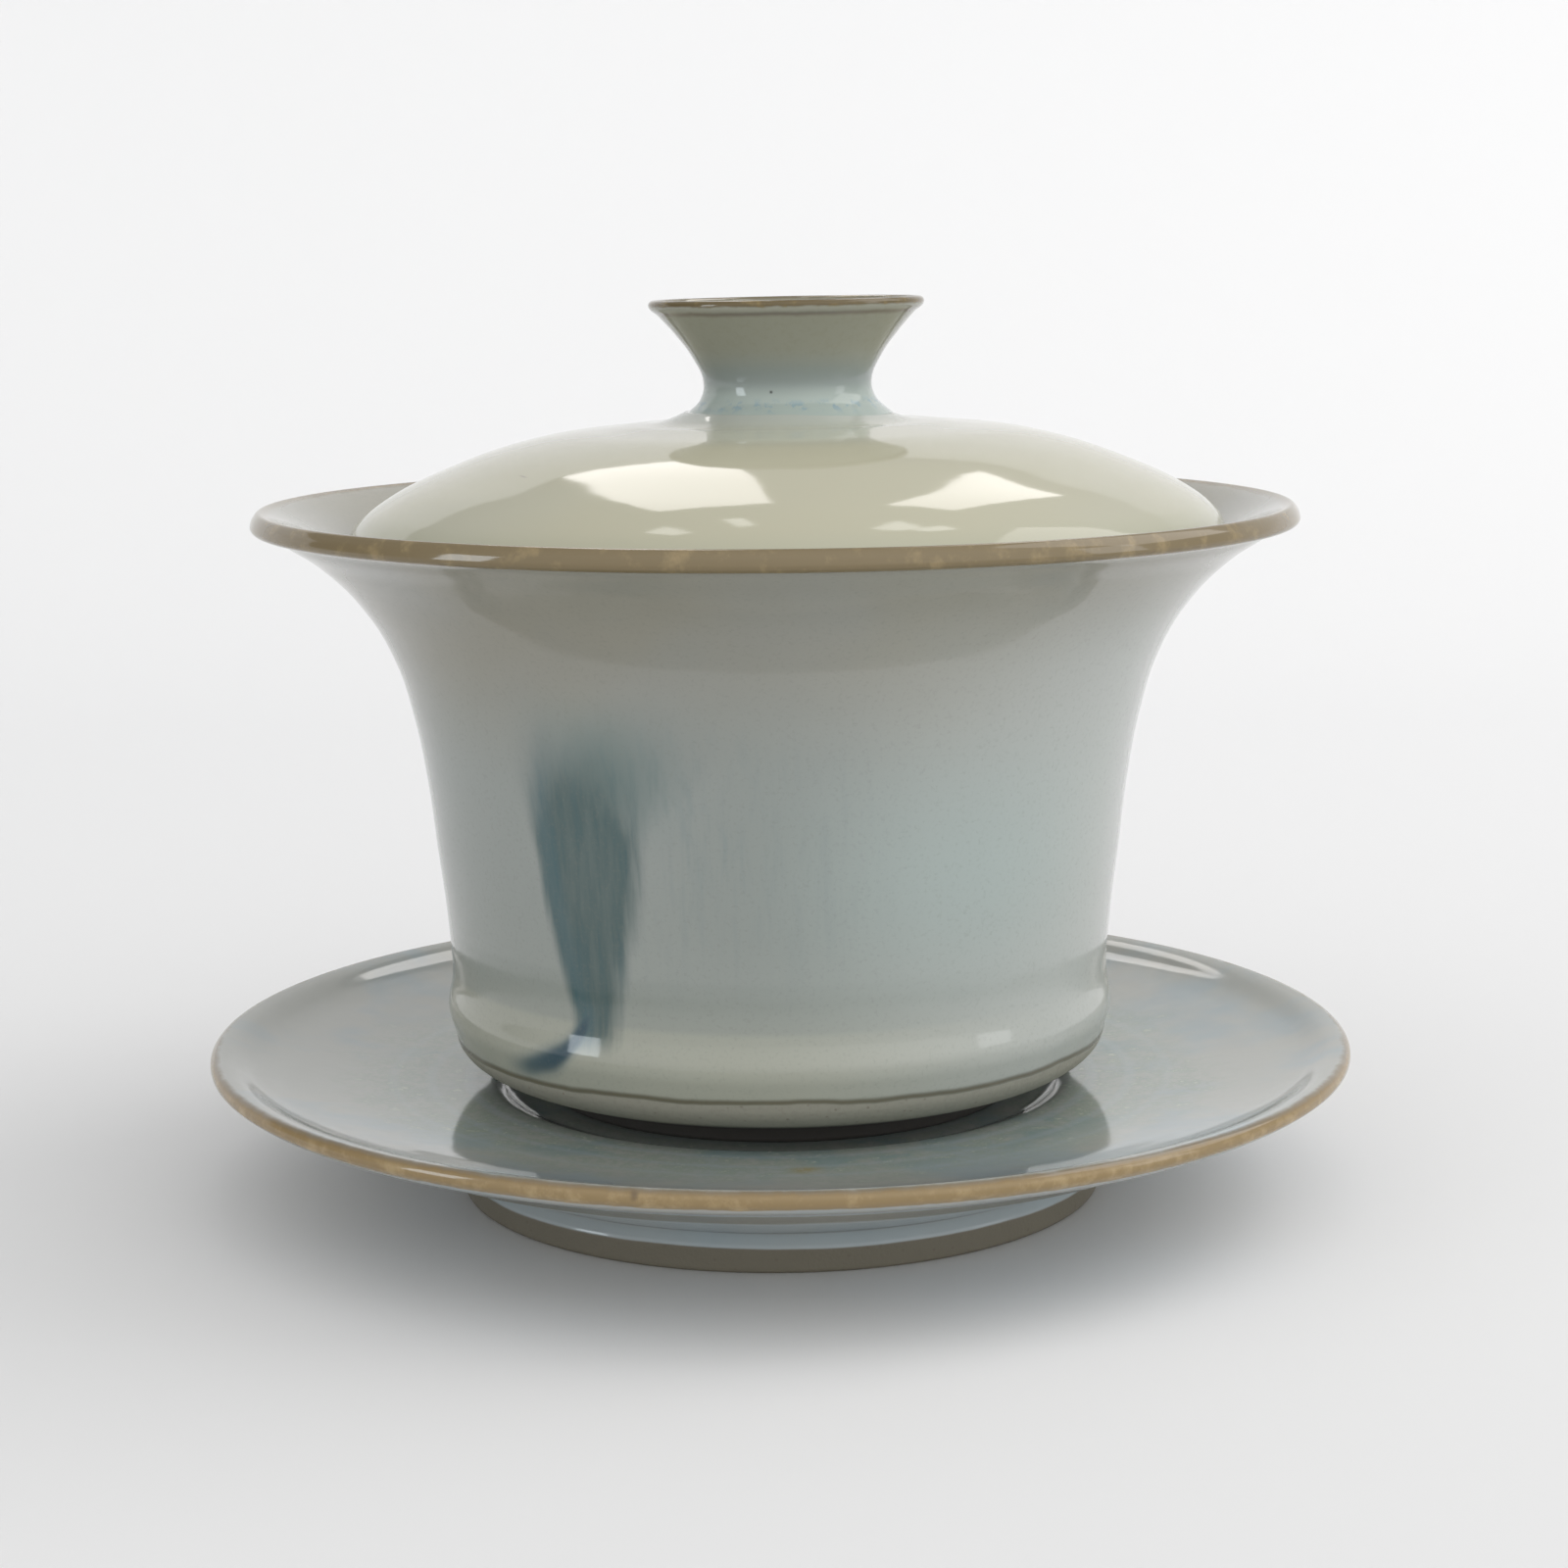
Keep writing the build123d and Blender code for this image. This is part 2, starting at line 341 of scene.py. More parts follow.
class Firing:
    """A fired surface as it is built up: a body colour, washes laid over it, gloss and relief."""

    def __init__(self, name, colour, gloss, centre=(0.0, 0.0, 0.0)):
        self.material = bpy.data.materials.new(name)
        self.material.use_nodes = True
        self.tree = self.material.node_tree
        self.shader = self.tree.nodes["Principled BSDF"]
        around = self.tree.nodes.new("ShaderNodeTexCoord")
        centred = self.tree.nodes.new("ShaderNodeMapping")
        centred.vector_type = "POINT"
        centred.inputs["Location"].default_value = [-c / MM for c in centre]
        centred.inputs["Scale"].default_value = (1 / MM, 1 / MM, 1 / MM)
        self.tree.links.new(around.outputs["Object"], centred.inputs["Vector"])
        self.place = centred.outputs["Vector"]
        split = self.tree.nodes.new("ShaderNodeSeparateXYZ")
        self.tree.links.new(self.place, split.inputs[0])
        self.x, self.y, self.z = (Field(self.tree, s) for s in split.outputs)
        self.radius = (self.x * self.x + self.y * self.y).step("SQRT")
        # degrees round from the front, positive to the right
        self.bearing = self.x.step("ARCTAN2", self.y * -1.0) * (180 / math.pi)
        self.from_lip = self.reading("from_lip")
        self.from_glaze_edge = self.reading("from_glaze_edge")
        self.colour = colour
        self.gloss = gloss
        self.relief = None

    def reading(self, name):
        note = self.tree.nodes.new("ShaderNodeAttribute")
        note.attribute_name = name
        return Field(self.tree, note.outputs["Fac"])

    def clouds(self, size, detail=2.0, roughness=0.5, seed=0.0, stretch=(1.0, 1.0, 1.0)):
        """Random clouds from 0 to 1, about size millimetres across and drawn out by stretch."""
        drawn = self.tree.nodes.new("ShaderNodeVectorMath")
        drawn.operation = "DIVIDE"
        self.tree.links.new(self.place, drawn.inputs[0])
        drawn.inputs[1].default_value = stretch
        return noise(self.tree, drawn.outputs[0], 1.0 / size, detail, roughness, seed)

    def specks(self, spacing, size, seed=0.0):
        """Round specks, 1 at their middles and 0 away from them, one in each cell of that spacing."""
        cells = self.tree.nodes.new("ShaderNodeTexVoronoi")
        cells.voronoi_dimensions = "4D"
        self.tree.links.new(self.place, cells.inputs["Vector"])
        cells.inputs["W"].default_value = seed
        cells.inputs["Scale"].default_value = 1.0 / spacing
        return Field(self.tree, cells.outputs["Distance"]).rise(size / spacing, 0.35 * size / spacing)

    def wash(self, amount, colour):
        """Lays a colour over what is there, as thick as amount says."""
        mix = self.tree.nodes.new("ShaderNodeMix")
        mix.data_type = "RGBA"
        mix.clamp_factor = True
        self.tree.links.new(amount.socket, mix.inputs[0])
        for place, value in ((6, self.colour), (7, colour)):
            if isinstance(value, bpy.types.NodeSocket):
                self.tree.links.new(value, mix.inputs[place])
            else:
                mix.inputs[place].default_value = (*value, 1.0)
        self.colour = mix.outputs[2]

    def dull(self, amount, roughness):
        """Makes the surface that rough where amount is 1."""
        self.gloss = amount * roughness + (amount * -1.0 + 1.0) * self.gloss

    def raise_by(self, height):
        """Adds relief, in millimetres."""
        self.relief = height if self.relief is None else self.relief + height

    def fired(self):
        self.tree.links.new(self.colour, self.shader.inputs["Base Color"])
        self.tree.links.new(self.gloss.socket, self.shader.inputs["Roughness"])
        bump = self.tree.nodes.new("ShaderNodeBump")
        bump.inputs["Strength"].default_value = 1.0
        bump.inputs["Distance"].default_value = MM
        self.tree.links.new(self.relief.socket, bump.inputs["Height"])
        self.tree.links.new(bump.outputs["Normal"], self.shader.inputs["Normal"])
        self.shader.inputs["IOR"].default_value = 1.52
        return self.material


def fire_saucer():
    glaze = Firing("milky_blue_glaze", (0.385, 0.392, 0.365), 0.07)
    milk = glaze.clouds(15, 3, 0.55, seed=1.0)
    glaze.wash(milk.rise(0.46, 0.64) * 0.75, (0.30, 0.365, 0.395))
    glaze.wash(glaze.clouds(11, 3, 0.6, seed=4.0).rise(0.5, 0.75) * 0.5, (0.44, 0.44, 0.415))
    # in the well it pools greener and bluer, finely mottled, with a ragged outer edge
    top = glaze.z.rise(9.0, 9.6)
    fine = glaze.clouds(1.3, 5, 0.8, seed=7.0)
    creep = glaze.clouds(7.0, 3, 0.6, seed=12.0)
    well = (glaze.radius + (creep - 0.5) * 16.0).rise(46.0, 34.0) * top
    glaze.wash(well * (fine.rise(0.42, 0.58) * 0.6 + 0.35), (0.28, 0.33, 0.288))
    glaze.wash(well * creep.rise(0.5, 0.7) * 0.55, (0.17, 0.28, 0.30))
    glaze.wash(well * fine.rise(0.55, 0.66) * 0.6, (0.52, 0.55, 0.46))
    # an iron spot in front of the well, on both faces
    spot = glaze.x.bump(2.2, 2.2) * glaze.y.bump(-35.5, 2.4)
    glaze.wash(spot * fine.rise(0.3, 0.6) * 0.8, (0.33, 0.27, 0.11))
    # the glaze runs thin over the lip, where the iron in the clay burns through
    blotch = glaze.clouds(2.6, 5, 0.65, seed=9.0)
    ragged = glaze.from_lip + (blotch - 0.5) * 1.0
    bare_lip = ragged.rise(-1.15, -0.8) * ragged.rise(1.15, 0.65)
    glaze.wash(bare_lip * 0.95, (0.265, 0.182, 0.075))
    glaze.wash(bare_lip * blotch.rise(0.45, 0.7) * 0.75, (0.44, 0.33, 0.17))
    glaze.wash(ragged.bump(1.0, 0.6) * 0.7, (0.17, 0.115, 0.05))
    glaze.wash(bare_lip * glaze.specks(4.5, 0.7, seed=2.0), (0.07, 0.045, 0.03))
    # throwing rings show through low down, underneath and in the well. Underneath, the glaze
    # pools pale blue above the foot, and the foot is bare
    below = glaze.from_glaze_edge
    rings = (glaze.radius * 1.7).step("SINE") * glaze.z.rise(12.0, 10.5)
    glaze.wash(rings.rise(0.2, 1.0) * below.rise(0.0, 1.0) * 0.3, (0.36, 0.42, 0.45))
    glaze.wash(below.rise(2.2, 1.2) * below.rise(-0.1, 0.1) * 0.7, (0.42, 0.50, 0.54))
    # a painted shade line along the crease where the foot ring meets the underside
    glaze.wash(below.bump(1.75, 0.3) * 0.4, (0.18, 0.19, 0.19))
    clay = below.rise(0.05, -0.1)
    glaze.wash(clay, (0.20, 0.182, 0.138))
    glaze.wash(clay * glaze.specks(0.9, 0.25, seed=5.0) * 0.5, (0.16, 0.13, 0.10))
    glaze.gloss = glaze.clouds(9, 2, seed=3.0) * 0.04 + 0.06
    glaze.dull(bare_lip, 0.09)
    glaze.dull(clay, 0.75)
    glaze.raise_by(glaze.clouds(4.0, 2, seed=6.0) * 0.02)
    glaze.raise_by(clay * glaze.clouds(0.35, 3, seed=8.0) * 0.05)
    return glaze.fired()


saucer_low, saucer_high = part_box("saucer")
SAUCER_RADIUS = (saucer_high.x - saucer_low.x) / 2 / MM
SAUCER_RIM = saucer_high.z / MM
SAUCER_LIP = 0.85  # half its thickness
saucer_lip_centre = (SAUCER_RADIUS - SAUCER_LIP, SAUCER_RIM - SAUCER_LIP)
saucer_lip = rounded_lip(saucer_lip_centre, SAUCER_LIP, -68, 118)
saucer_glaze_edge = (31.43, 2.3)
saucer_outline = [
    (0, 3.4, SHARP),
    (27.2, 3.4, 0.6),
    (28.2, 0, 0.45),
    (31.2, 0, 0.45),
    (31.3, 1.2),
    saucer_glaze_edge,
    (31.5, 3.3),
    (31.8, 3.95, 0.25),
    (34.6, 5.1),
    (38.8, 6.75),
    (43.0, 8.35),
    (49.0, 10.9),
    *saucer_lip,
    (50.5, 13.3),
    (46.0, 12.25),
    (41.0, 11.45),
    (36.0, 10.95),
    (31.5, 10.65),
    (27.6, 10.5, 0.9),
    (26.4, 9.7, 0.8),
    (22.0, 9.7),
    (0, 9.7, SHARP),
]
saucer = throw(
    "saucer_glazed",
    saucer_outline,
    fire_saucer(),
    lip=saucer_lip[1],
    glaze_edge=saucer_glaze_edge,
    wander=0.35,
    roll=0.1,
    seed=2.0,
)
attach(saucer, "saucer")
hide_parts("saucer")

# ------------------------------------------------------------------------------------------
# BOWL. The tea bowl: a nearly straight body flaring wide at the lip, turned on a small foot.
# It is dipped in a pale grey-green glaze over one stroke of cobalt, laid on with a wide
# brush. The dip stops short of the foot, which is washed with iron.
# ------------------------------------------------------------------------------------------


def inside_of(outline, wall):
    """The inner face of a wall: each outer point moved in, square to the wall."""
    moved = []
    for before, here, after in zip(outline[:-2], outline[1:-1], outline[2:]):
        run, rise = after[0] - before[0], after[1] - before[1]
        length = math.hypot(run, rise)
        moved.append((here[0] - wall * rise / length, here[1] + wall * run / length))
    return moved


def fire_bowl():
    glaze = Firing("grey_green_glaze", (0.318, 0.345, 0.328), 0.07)
    glaze.wash(glaze.z.rise(42.0, 58.0), (0.315, 0.305, 0.255))
    glaze.wash(glaze.clouds(26, 2, seed=11.0).rise(0.42, 0.7) * 0.35, (0.315, 0.335, 0.335))
    # the dip gathers creamy towards its lower edge, and the wall grows paler from about 36 mm down.
    # The dark band and the pale zone under it are painted reflections of the saucer and the paper,
    # which a glossy bowl mirrors there
    glaze.wash(glaze.z.rise(27.0, 18.5) * 0.9, (0.42, 0.425, 0.35))
    painted_reflection_band = glaze.z.rise(27.0, 26.2) * glaze.z.rise(21.6, 22.4)
    glaze.wash(painted_reflection_band * 0.38, (0.235, 0.27, 0.245))
    glaze.wash(glaze.z.rise(36.0, 26.0) * 0.35, (0.37, 0.395, 0.365))
    # painted reflection: the pale zone below the band
    glaze.wash(glaze.z.rise(22.4, 21.6) * 0.5, (0.43, 0.44, 0.37))
    # light painted in: paler down the right side, and darker in the middle of the front
    paler = glaze.bearing.bump(56.0, 66.0) * glaze.z.rise(66.0, 52.0)
    glaze.wash(paler * 0.9, (0.46, 0.485, 0.465))
    darker = glaze.bearing.bump(-2.0, 28.0) * glaze.z.bump(38.0, 22.0)
    glaze.wash(darker * 0.6, (0.255, 0.285, 0.268))
    # cobalt has bled into the glaze: a teal cloud at the right and thin runs down the front
    cloud = glaze.bearing.bump(32.0, 44.0) * glaze.z.bump(36.0, 17.0)
    glaze.wash(cloud * 0.6, (0.37, 0.455, 0.44))
    streak = glaze.clouds(0.9, 4, 0.6, seed=13.0, stretch=(1.0, 1.0, 16.0))
    soft = glaze.clouds(5.0, 3, 0.5, seed=14.0, stretch=(1.0, 1.0, 2.5))
    runs = glaze.bearing.bump(-12.0, 40.0) * glaze.z.bump(38.0, 17.0) * streak.rise(0.42, 0.72)
    glaze.wash(runs * 0.35, (0.20, 0.255, 0.26))
    # the stroke itself: sharp on the left, where the brush was set down, and dry on the right
    left = glaze.z.drawn(
        (19.0, -35.6),
        (22.0, -35.4),
        (24.0, -36.3),
        (27.0, -37.7),
        (30.0, -38.7),
        (37.0, -40.4),
        (41.0, -40.9),
        (46.0, -39.6),
        (52.0, -35.0),
    )
    right = glaze.z.drawn(
        (19.0, -28.0),
        (22.0, -27.0),
        (25.0, -26.0),
        (27.5, -24.9),
        (30.0, -23.4),
        (33.0, -22.0),
        (37.0, -21.2),
        (42.0, -20.6),
        (47.0, -18.0),
        (52.0, -10.0),
    )
    spread = glaze.z.rise(38.0, 50.0) * 7.0 + 1.0
    ragged_left = glaze.bearing - left + (streak - 0.5) * 1.6
    inside_left = (ragged_left / spread).rise(-0.9, 1.9)
    ragged_right = right - glaze.bearing + (streak - 0.5) * 3.0 + (soft - 0.5) * 1.5
    inside_right = (ragged_right / spread).rise(-2.2, 3.0)
    ragged_top = glaze.z + (streak - 0.5) * 3.0 + (soft - 0.5) * 3.0
    weight = glaze.z.rise(18.8, 21.6) * ragged_top.rise(53.0, 42.5)
    # a soft teal halo round the top of the stroke
    halo = glaze.bearing.bump(-26.0, 17.0) * glaze.z.bump(45.5, 8.5)
    glaze.wash(halo * 0.5, (0.165, 0.25, 0.24))
    stroke = inside_left * inside_right * weight
    density = streak.rise(0.25, 0.75) * 0.16 + 0.76
    glaze.wash(stroke * density, (0.050, 0.098, 0.098))
    blue = (glaze.bearing - left).bump(2.5, 3.5) + streak.rise(0.5, 0.68) * 0.5
    glaze.wash(stroke * blue * 0.4, (0.05, 0.13, 0.16))
    # its tail, flicked away to the left
    tail_line = glaze.bearing.drawn(
        (-54.0, 16.5), (-48.0, 16.8), (-42.0, 17.8), (-38.0, 18.8), (-35.0, 20.4), (-32.0, 22.6)
    )
    tail_width = glaze.bearing.rise(-52.0, -38.0) * 0.7 + 1.5 + (soft - 0.5) * 1.2
    tail = ((glaze.z - tail_line) / tail_width).bump(0.0, 1.0)
    tail = tail * glaze.bearing.rise(-54.0, -44.0) * glaze.bearing.rise(-30.5, -34.0)
    glaze.wash(tail * 0.85, (0.09, 0.155, 0.175))
    glaze.wash(tail.rise(0.3, 1.0) * glaze.bearing.rise(-52.0, -38.0) * 0.9, (0.035, 0.075, 0.105))
    # a fine dark grain all over the glaze
    grain = glaze.clouds(0.4, 3, 0.7, seed=24.0)
    glaze.wash(grain.rise(0.5, 0.72) * 0.2, (0.19, 0.2, 0.18))
    # the lip, where the glaze runs thin and the iron shows
    blotch = glaze.clouds(2.2, 5, 0.65, seed=15.0)
    ragged = glaze.from_lip + (blotch - 0.5) * 1.2
    thin_lip = ragged.rise(-1.5, -0.7) * ragged.rise(3.4, 2.2)
    glaze.wash(thin_lip * 0.95, (0.185, 0.138, 0.066))
    glaze.wash(thin_lip * blotch.rise(0.48, 0.7) * 0.7, (0.31, 0.235, 0.118))
    # below the dip: a line of burnt glaze, bare clay, and the iron wash on the foot
    below = glaze.from_glaze_edge
    glaze.wash(below.bump(0.15, 0.5) * 0.9, (0.085, 0.075, 0.042))
    clay = below.rise(0.05, -0.15)
    glaze.wash(clay, (0.34, 0.33, 0.28))
    glaze.wash(clay * glaze.clouds(0.5, 2, 0.7, seed=20.0).rise(0.45, 0.7) * 0.5, (0.27, 0.26, 0.22))
    glaze.wash(clay * glaze.specks(0.8, 0.2, seed=16.0) * 0.6, (0.16, 0.14, 0.11))
    under = clay * glaze.z.rise(13.2, 12.6)
    glaze.wash(under, (0.065, 0.060, 0.055))
    glaze.gloss = glaze.clouds(12, 2, seed=17.0) * 0.03 + 0.06
    glaze.dull(thin_lip, 0.07)
    glaze.dull(clay, 0.6)
    glaze.raise_by(glaze.clouds(5.0, 2, seed=18.0) * 0.02)
    glaze.raise_by(clay * glaze.clouds(0.4, 3, seed=19.0) * 0.05)
    return glaze.fired()


bowl_low, bowl_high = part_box("bowl")
BOWL_RADIUS = (bowl_high.x - bowl_low.x) / 2 / MM
BOWL_RIM = bowl_high.z / MM
BOWL_FOOT = bowl_low.z / MM
BOWL_WALL = 1.9
BOWL_LIP = 0.6  # rounding of the lip's two corners
BOWL_LIP_FACE = 0.7  # height between the middles of those corners
BOWL_LIP_SLANT = 0.35  # the upper corner stands this far inside the lower one
lip_lean = math.degrees(math.atan2(BOWL_LIP_SLANT, BOWL_LIP_FACE))
lip_low = (BOWL_RADIUS - BOWL_LIP, BOWL_RIM - BOWL_LIP - BOWL_LIP_FACE)
lip_high = (lip_low[0] - BOWL_LIP_SLANT, lip_low[1] + BOWL_LIP_FACE)
bowl_lip = [
    *rounded_lip(lip_low, BOWL_LIP, -68, lip_lean, 3),
    *rounded_lip(lip_high, BOWL_LIP, lip_lean, 115, 3),
]
bowl_glaze_edge = (31.65, 15.6)
bowl_wall = [
    (30.2, 13.6),
    (31.2, 14.6),
    bowl_glaze_edge,
    (32.0, 16.7),
    (32.3, 18.3),
    (31.85, 21.5),  # this hollow is drawn about 0.3 deep of true, for what it mirrors
    (32.15, 27.0),
    (32.95, 34.0),
    (33.75, 40.8),
    (34.9, 47.0),
    (36.6, 52.5),
    (39.5, 57.5),
    (43.4, 61.5),
    (46.2, 63.4),
    (48.0, 64.45),
]
bowl_outline = [
    (0, BOWL_FOOT + 1.9, SHARP),
    (20.0, BOWL_FOOT + 1.9, 0.5),
    (20.6, BOWL_FOOT, 0.45),
    (23.0, BOWL_FOOT, 0.45),
    (23.3, BOWL_FOOT + 2.1, 0.4),
    (26.4, 12.15),
    (28.6, 12.75),
    *bowl_wall,
    *bowl_lip,
    *reversed(inside_of(bowl_wall, BOWL_WALL)[4:]),
    (24.0, 14.95),
    (16.0, 14.6),
    (0, 14.6, SHARP),
]
bowl = throw(
    "bowl_glazed",
    bowl_outline,
    fire_bowl(),
    lip=bowl_lip[1],
    glaze_edge=bowl_glaze_edge,
    wander=1.5,
    roll=0.14,
    seed=5.0,
)
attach(bowl, "bowl")
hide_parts("bowl")

# ------------------------------------------------------------------------------------------
# LID. A shallow dome of the same clay that drops inside the bowl's flare and closes it. It sits
# a little to one side and leans, as a loose lid does. Its edge is drawn clear of the flare, by
# about 0.25 mm at the right and 0.9 mm at the left.
# ------------------------------------------------------------------------------------------


def fire_lid(centre):
    glaze = Firing("cream_green_glaze", (0.475, 0.462, 0.35), 0.06, centre=centre)
    glaze.wash(glaze.clouds(24, 2, seed=21.0).rise(0.45, 0.72) * 0.4, (0.46, 0.465, 0.39))
    # bluer round the knob's seat, on the inside too, and a shade greener towards the edge
    glaze.wash(glaze.radius.rise(13.5, 9.8) * 0.6, (0.45, 0.50, 0.49))
    glaze.wash(glaze.radius.rise(38.5, 41.2) * 0.5, (0.46, 0.465, 0.36))
    # one faint scratch
    across_scratch = glaze.y * 0.55 + glaze.x + 34.6
    scratch = across_scratch.bump(0.0, 0.16) * glaze.y.bump(-20.4, 1.0) * glaze.x.rise(-20.0, -21.0)
    glaze.wash(scratch * 0.6, (0.22, 0.22, 0.22))
    glaze.gloss = glaze.clouds(12, 2, seed=22.0) * 0.03 + 0.05
    glaze.raise_by(glaze.clouds(6.0, 2, seed=23.0) * 0.025)
    return glaze.fired()


LID_LEAN = math.radians(0.6)
LID_SHIFT = 1.05
LID_EDGE = 0.9  # half its thickness
LID_EDGE_HEIGHT = 63.65
LID_RADIUS = 41.6
LID_WALL = 2.0
lid_foot = Vector((LID_SHIFT + LID_EDGE_HEIGHT * math.sin(LID_LEAN), 0, 0)) * MM
lid_place = Matrix.Translation(lid_foot) @ Matrix.Rotation(-LID_LEAN, 4, "Y")
lid_edge = rounded_lip((LID_RADIUS - LID_EDGE, LID_EDGE_HEIGHT), LID_EDGE, -180, 0)
lid_dome = [
    (41.3, 64.7),
    (40.6, 65.6),
    (38.7, 67.1),
    (33.0, 69.95),
    (24.0, 72.85),
    (15.5, 73.95),
    (11.4, 74.4),
    (9.45, 75.2),
]
lid_outline = [
    (0, 72.1, SHARP),
    (14.0, 72.1),
    *reversed(inside_of(lid_dome, LID_WALL)[1:-1]),
    *lid_edge,
    *lid_dome[:-1],
    (9.45, 75.2, SHARP),
    (0, 75.2, SHARP),
]
lid_middle = (LID_SHIFT * MM, 0, 0)
lid = throw(
    "lid_glazed",
    lid_outline,
    fire_lid(lid_middle),
    lip=lid_edge[-1],
    glaze_edge=(0, 72.1, SHARP),
    seed=8.0,
    place=lid_place,
)
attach(lid, "lid")
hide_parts("lid")

# ------------------------------------------------------------------------------------------
# KNOB. A small flaring cup that the fingers lift the lid by. It is thrown on its own and
# luted to the lid with slip before glazing, so the glaze gathers blue round its neck.
# ------------------------------------------------------------------------------------------


def fire_knob(centre):
    glaze = Firing("blue_grey_glaze", (0.31, 0.318, 0.265), 0.07, centre=centre)
    fine = glaze.clouds(0.7, 3, 0.7, seed=30.0)
    glaze.wash(fine.rise(0.45, 0.7) * 0.25, (0.26, 0.26, 0.20))
    glaze.wash(glaze.z.rise(81.6, 78.4) * 0.9, (0.26, 0.305, 0.30))
    glaze.wash(glaze.z.rise(78.4, 76.4) * 0.9, (0.41, 0.48, 0.445))
    # blue specks low on the neck, where the glaze gathers
    blue = glaze.clouds(1.2, 4, 0.7, seed=31.0).rise(0.5, 0.6)
    glaze.wash(glaze.z.bump(75.9, 0.9) * blue * 0.6, (0.22, 0.34, 0.42))
    # the lip is golden, over a pale roll of glaze and a burnt line
    blotch = glaze.clouds(1.6, 4, 0.6, seed=32.0)
    ragged = glaze.from_lip + (blotch - 0.5) * 0.35
    glaze.wash(ragged.bump(-0.45, 0.5) * 0.4, (0.40, 0.40, 0.37))
    glaze.wash(ragged.bump(-1.05, 0.5) * 0.75, (0.17, 0.135, 0.11))
    thin_lip = ragged.rise(-0.2, 0.05) * ragged.rise(2.0, 0.8)
    glaze.wash(thin_lip * 0.95, (0.115, 0.080, 0.026))
    glaze.wash(thin_lip * blotch.rise(0.5, 0.7) * 0.6, (0.27, 0.195, 0.07))
    pinhole = glaze.x.bump(-1.3, 0.22) * glaze.z.bump(77.2, 0.22) * glaze.y.rise(0.0, -2.0)
    glaze.wash(pinhole, (0.03, 0.03, 0.03))
    glaze.gloss = glaze.clouds(8, 2, seed=33.0) * 0.03 + 0.06
    glaze.dull(thin_lip, 0.07)
    glaze.raise_by(glaze.clouds(4.0, 2, seed=34.0) * 0.02)
    return glaze.fired()


KNOB_RADIUS = 13.05
KNOB_SHIFT = 0.4  # it was luted on this far to one side
KNOB_RIM = 85.7
KNOB_LIP = 0.5  # half its thickness
knob_lip = rounded_lip((KNOB_RADIUS - KNOB_LIP, KNOB_RIM - KNOB_LIP), KNOB_LIP, 0, 126, 3)
knob_outline = [
    (0, 74.8, SHARP),
    (9.95, 74.8, SHARP),
    (9.2, 75.4),
    (8.35, 76.3),
    (8.0, 77.9),
    (8.9, 80.15),
    (10.55, 82.45),
    (12.1, 84.2),
    *knob_lip,
    (10.9, 83.9),
    (9.2, 82.1),
    (7.0, 79.0),
    (4.4, 77.8),
    (0, 77.8, SHARP),
]
knob = throw(
    "knob_glazed",
    knob_outline,
    fire_knob(lid_middle),
    lip=knob_lip[0],
    glaze_edge=(0, 74.8, SHARP),
    out_of_round=0.03,
    seed=9.0,
    place=lid_place @ Matrix.Translation((KNOB_SHIFT * MM, 0, 0)),
)
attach(knob, "lid")
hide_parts("lid_knob")

# ------------------------------------------------------------------------------------------
# STAGE. A sheet of pale matt paper, lying flat under the tea set and curving up behind it,
# so that no hard corner shows where the table meets the wall.
# ------------------------------------------------------------------------------------------
PAPER_FRONT = -1.2
PAPER_BEND = 0.30
PAPER_BEND_RADIUS = 0.35
PAPER_TOP = 0.5
PAPER_HALF_WIDTH = 1.3
paper_line = [(PAPER_FRONT, 0.0)]
for turned in range(0, 91, 5):
    angle = math.radians(turned)
    paper_line.append(
        (PAPER_BEND + PAPER_BEND_RADIUS * math.sin(angle), PAPER_BEND_RADIUS * (1 - math.cos(angle)))
    )
paper_line.append((PAPER_BEND + PAPER_BEND_RADIUS, PAPER_TOP))
paper_mesh = bpy.data.meshes.new("paper_sweep")
paper_mesh.from_pydata(
    [(side * PAPER_HALF_WIDTH, y, z) for y, z in paper_line for side in (-1, 1)],
    [],
    [(2 * n, 2 * n + 1, 2 * n + 3, 2 * n + 2) for n in range(len(paper_line) - 1)],
)
paper_mesh.shade_smooth()
paper = bpy.data.objects.new("paper_sweep", paper_mesh)
bpy.context.scene.collection.objects.link(paper)
paper_look = bpy.data.materials.new("pale_paper")
paper_look.use_nodes = True
paper_face = paper_look.node_tree.nodes["Principled BSDF"].inputs
paper_face["Base Color"].default_value = (0.815, 0.82, 0.83, 1.0)
paper_face["Roughness"].default_value = 0.9
paper_face["Specular IOR Level"].default_value = 0.1
paper_mesh.materials.append(paper_look)

# ------------------------------------------------------------------------------------------
# LIGHT AND CAMERA. Windows behind and at both sides, and a row of ceiling lamps, show only in
# the gloss of the glaze. The clay is lit by one more window at the right and by the room,
# which is brightest towards the camera and the right.
# ------------------------------------------------------------------------------------------


def window(name, bearing, height, distance, width, tall, brightness, colour, lights_clay=False):
    """A soft light that way round from straight ahead and that high up, in degrees.

    The bearing is positive to the right. Unless it lights the clay, it is seen only in the gloss.
    """
    lamp = bpy.data.lights.new(name, "AREA")
    lamp.shape = "RECTANGLE"
    lamp.size = width
    lamp.size_y = tall
    lamp.energy = brightness * math.pi * width * tall
    lamp.color = colour
    hung = bpy.data.objects.new(name, lamp)
    bpy.context.scene.collection.objects.link(hung)
    a, e = math.radians(bearing), math.radians(height)
    toward = Vector((math.sin(a) * math.cos(e), math.cos(a) * math.cos(e), math.sin(e)))
    middle = Vector((0, 0, 0.05))
    hung.location = middle + toward * distance
    hung.rotation_euler = toward.to_track_quat("Z", "Y").to_euler()
    hung.visible_diffuse = lights_clay
    hung.visible_camera = False


WARM_SKY = (1.0, 0.96, 0.94)
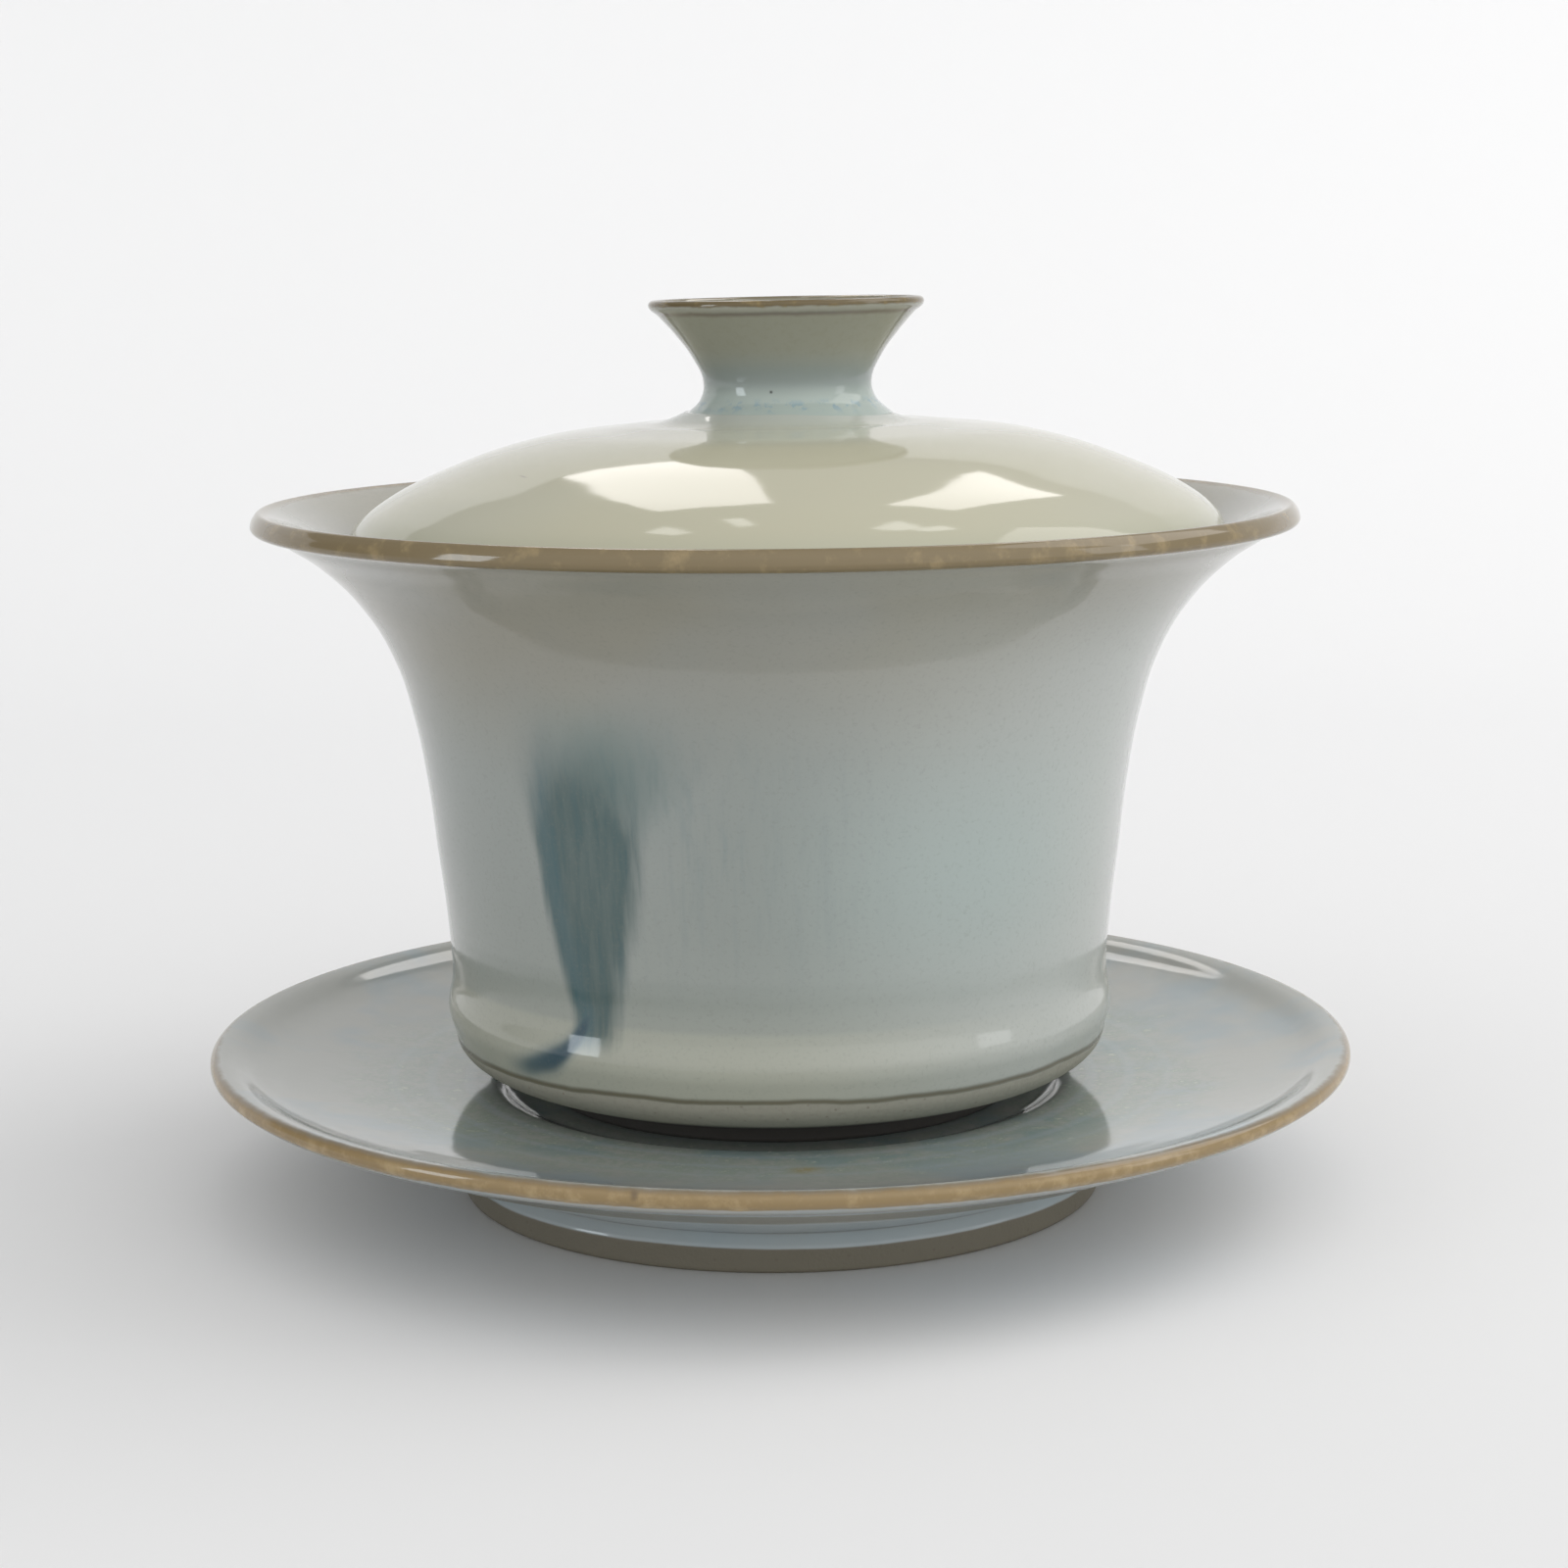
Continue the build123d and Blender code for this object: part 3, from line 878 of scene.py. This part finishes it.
# name, bearing, height, distance, width, tall, brightness, colour
window("back_left_window", -11, 44.5, 1.0, 0.175, 0.38, 3.2, WARM_SKY)
window("back_right_window", 20, 46.5, 1.0, 0.125, 0.32, 3.2, WARM_SKY)
window("left_window", -112, 12, 1.2, 0.26, 0.62, 5.0, (0.86, 0.94, 1.0))
window("right_window", 104, 14, 1.2, 0.3, 0.6, 1.6, (0.97, 0.98, 1.0))
ceiling_lamps = [(-32, 66, 0.05), (-13, 67, 0.035), (29, 67, 0.06), (38, 65, 0.06)]
for number, (bearing, height, width) in enumerate(ceiling_lamps):
    window(f"ceiling_lamp_{number}", bearing, height, 1.0, width, 0.08, 2.6, (1.0, 1.0, 0.98))
window("key_window", 80, 42, 0.75, 0.5, 0.5, 1.6, (1.0, 0.97, 0.95), lights_clay=True)

room = bpy.data.worlds.new("room")
room.use_nodes = True
bpy.context.scene.world = room
air = room.node_tree
facing = air.nodes.new("ShaderNodeTexCoord")
split = air.nodes.new("ShaderNodeSeparateXYZ")
air.links.new(facing.outputs["Generated"], split.inputs[0])
aside, ahead, overhead = (Field(air, s) for s in split.outputs)
from_camera = ahead.rise(0.3, -0.7) * 0.72
from_above = overhead.rise(0.2, 1.0) * 0.3
from_right = aside.rise(-0.3, 0.9) * 0.44
brightness = from_camera + from_above + from_right + 0.26
air.links.new(brightness.socket, air.nodes["Background"].inputs["Strength"])
air.nodes["Background"].inputs["Color"].default_value = (1.0, 0.995, 0.985, 1.0)

# where the camera stands, in metres, and how far it looks down and leans over, in radians
CAMERA_HEIGHT = 0.090
CAMERA_BACK = 0.2991
CAMERA_ASIDE = 0.0006
CAMERA_DIP = 0.1686
CAMERA_ROLL = 0.0095
lens = bpy.data.cameras.new("camera")
lens.lens = 71.8
lens.sensor_width = 36.0
lens.clip_start = 0.01
eye = bpy.data.objects.new("camera", lens)
bpy.context.scene.collection.objects.link(eye)
eye.matrix_world = (
    Matrix.Translation((CAMERA_ASIDE, -CAMERA_BACK, CAMERA_HEIGHT))
    @ Matrix.Rotation(math.pi / 2 - CAMERA_DIP, 4, "X")
    @ Matrix.Rotation(-CAMERA_ROLL, 4, "Z")
)
bpy.context.scene.camera = eye
bpy.context.scene.view_settings.view_transform = "Standard"
